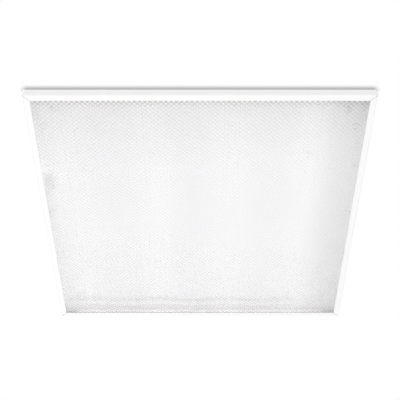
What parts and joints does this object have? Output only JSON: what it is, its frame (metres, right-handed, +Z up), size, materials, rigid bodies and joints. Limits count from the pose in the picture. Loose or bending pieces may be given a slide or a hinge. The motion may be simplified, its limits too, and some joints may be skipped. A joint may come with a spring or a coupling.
{
  "type": "recessed troffer light",
  "caption": "Square lay-in ceiling light: mitred white frame round a prismatic sheet, LED bars behind it, and a driver box with hinged cover and swing-out grid clips on its back.",
  "frame": {"origin": "centre of the frame's front lip plane, at the ceiling's underside", "axes": "+Z up into the ceiling, +X to the right rail, +Y from the near rail to the far rail"},
  "size_m": [0.595, 0.595, 0.0442],
  "materials": {
    "frame_paint": "satin white powder coat",
    "sheet_paint": "white coil-coated steel",
    "prismatic_acrylic": "clear prismatic sheet",
    "reflector_film": "matt white film",
    "zinc_steel": "bright zinc plate",
    "spring_steel": "plain spring strip",
    "bar_board": "white solder mask",
    "led_phosphor": "LED package",
    "white_moulding": "white nylon",
    "white_sheath": "white lead sheath",
    "black_moulding": "black nylon",
    "driver_case": "fine-textured light grey case",
    "block_grey": "grey terminal housing",
    "lever_grey": "dark grey lever",
    "earth_insulation": "green and yellow insulation",
    "brass_plate": "yellow zinc"
  },
  "bodies": {
    "panel": {"frame_rail_near": "frame_paint", "frame_rail_far": "frame_paint", "frame_rail_left": "frame_paint", "frame_rail_right": "frame_paint", "corner_key_near_left": "zinc_steel", "corner_key_near_right": "zinc_steel", "corner_key_far_left": "zinc_steel", "corner_key_far_right": "zinc_steel", "corner_key_screws": "zinc_steel", "prismatic_diffuser": "prismatic_acrylic", "reflector_sheet": "reflector_film", "back_plate": "sheet_paint", "back_plate_screws": "zinc_steel", "led_bar_rivets": "white_moulding", "led_connectors": "white_moulding", "led_link_wires": "white_sheath", "feed_lead": "white_sheath", "lead_gland": "black_moulding", "lead_clip": "black_moulding", "driver_box_base": "sheet_paint", "cover_hinge_pins": "zinc_steel", "driver_box_rivets": "zinc_steel", "cable_bushing": "black_moulding", "led_driver": "driver_case", "led_driver_screws": "zinc_steel", "terminal_block": "block_grey", "driver_input_wires": "white_sheath", "earth_wire": "earth_insulation", "earth_stud": "brass_plate", "earth_nut": "brass_plate", "grid_clip_rivets": "zinc_steel", "suspension_nuts": "zinc_steel", "led_bar_1": "bar_board", "led_chips_1": "led_phosphor", "led_bar_2": "bar_board", "led_chips_2": "led_phosphor", "led_bar_3": "bar_board", "led_chips_3": "led_phosphor", "led_bar_4": "bar_board", "led_chips_4": "led_phosphor"},
    "cover": {"driver_box_cover": "sheet_paint", "cover_screw": "zinc_steel"},
    "lever_line": {"terminal_lever_line": "lever_grey"},
    "lever_neutral": {"terminal_lever_neutral": "lever_grey"},
    "lever_earth": {"terminal_lever_earth": "lever_grey"},
    "clip_near_left": {"grid_clip_near_left": "spring_steel"},
    "clip_near_right": {"grid_clip_near_right": "spring_steel"},
    "clip_far_left": {"grid_clip_far_left": "spring_steel"},
    "clip_far_right": {"grid_clip_far_right": "spring_steel"}
  },
  "joints": [
    {"name": "cover_hinge", "type": "hinge", "parent": "panel", "child": "cover", "pos_m": [-0.2041, 0, 0.0398], "axis": [0, 1, 0], "range_deg": [0, 180]},
    {"name": "lever_line_pivot", "type": "hinge", "parent": "panel", "child": "lever_line", "pos_m": [-0.257, 0.101, 0.0269], "axis": [-1, 0, 0], "range_deg": [0, 90]},
    {"name": "lever_neutral_pivot", "type": "hinge", "parent": "panel", "child": "lever_neutral", "pos_m": [-0.249, 0.101, 0.0269], "axis": [-1, 0, 0], "range_deg": [0, 90]},
    {"name": "lever_earth_pivot", "type": "hinge", "parent": "panel", "child": "lever_earth", "pos_m": [-0.241, 0.101, 0.0269], "axis": [-1, 0, 0], "range_deg": [0, 90]},
    {"name": "clip_near_left_pivot", "type": "hinge", "parent": "panel", "child": "clip_near_left", "pos_m": [-0.273, -0.215, 0.0185], "axis": [0, 0, 1], "range_deg": [0, 90]},
    {"name": "clip_near_right_pivot", "type": "hinge", "parent": "panel", "child": "clip_near_right", "pos_m": [0.273, -0.215, 0.0185], "axis": [0, 0, 1], "range_deg": [0, 90]},
    {"name": "clip_far_left_pivot", "type": "hinge", "parent": "panel", "child": "clip_far_left", "pos_m": [-0.273, 0.215, 0.0185], "axis": [0, 0, 1], "range_deg": [0, 90]},
    {"name": "clip_far_right_pivot", "type": "hinge", "parent": "panel", "child": "clip_far_right", "pos_m": [0.273, 0.215, 0.0185], "axis": [0, 0, 1], "range_deg": [0, 90]}
  ]
}
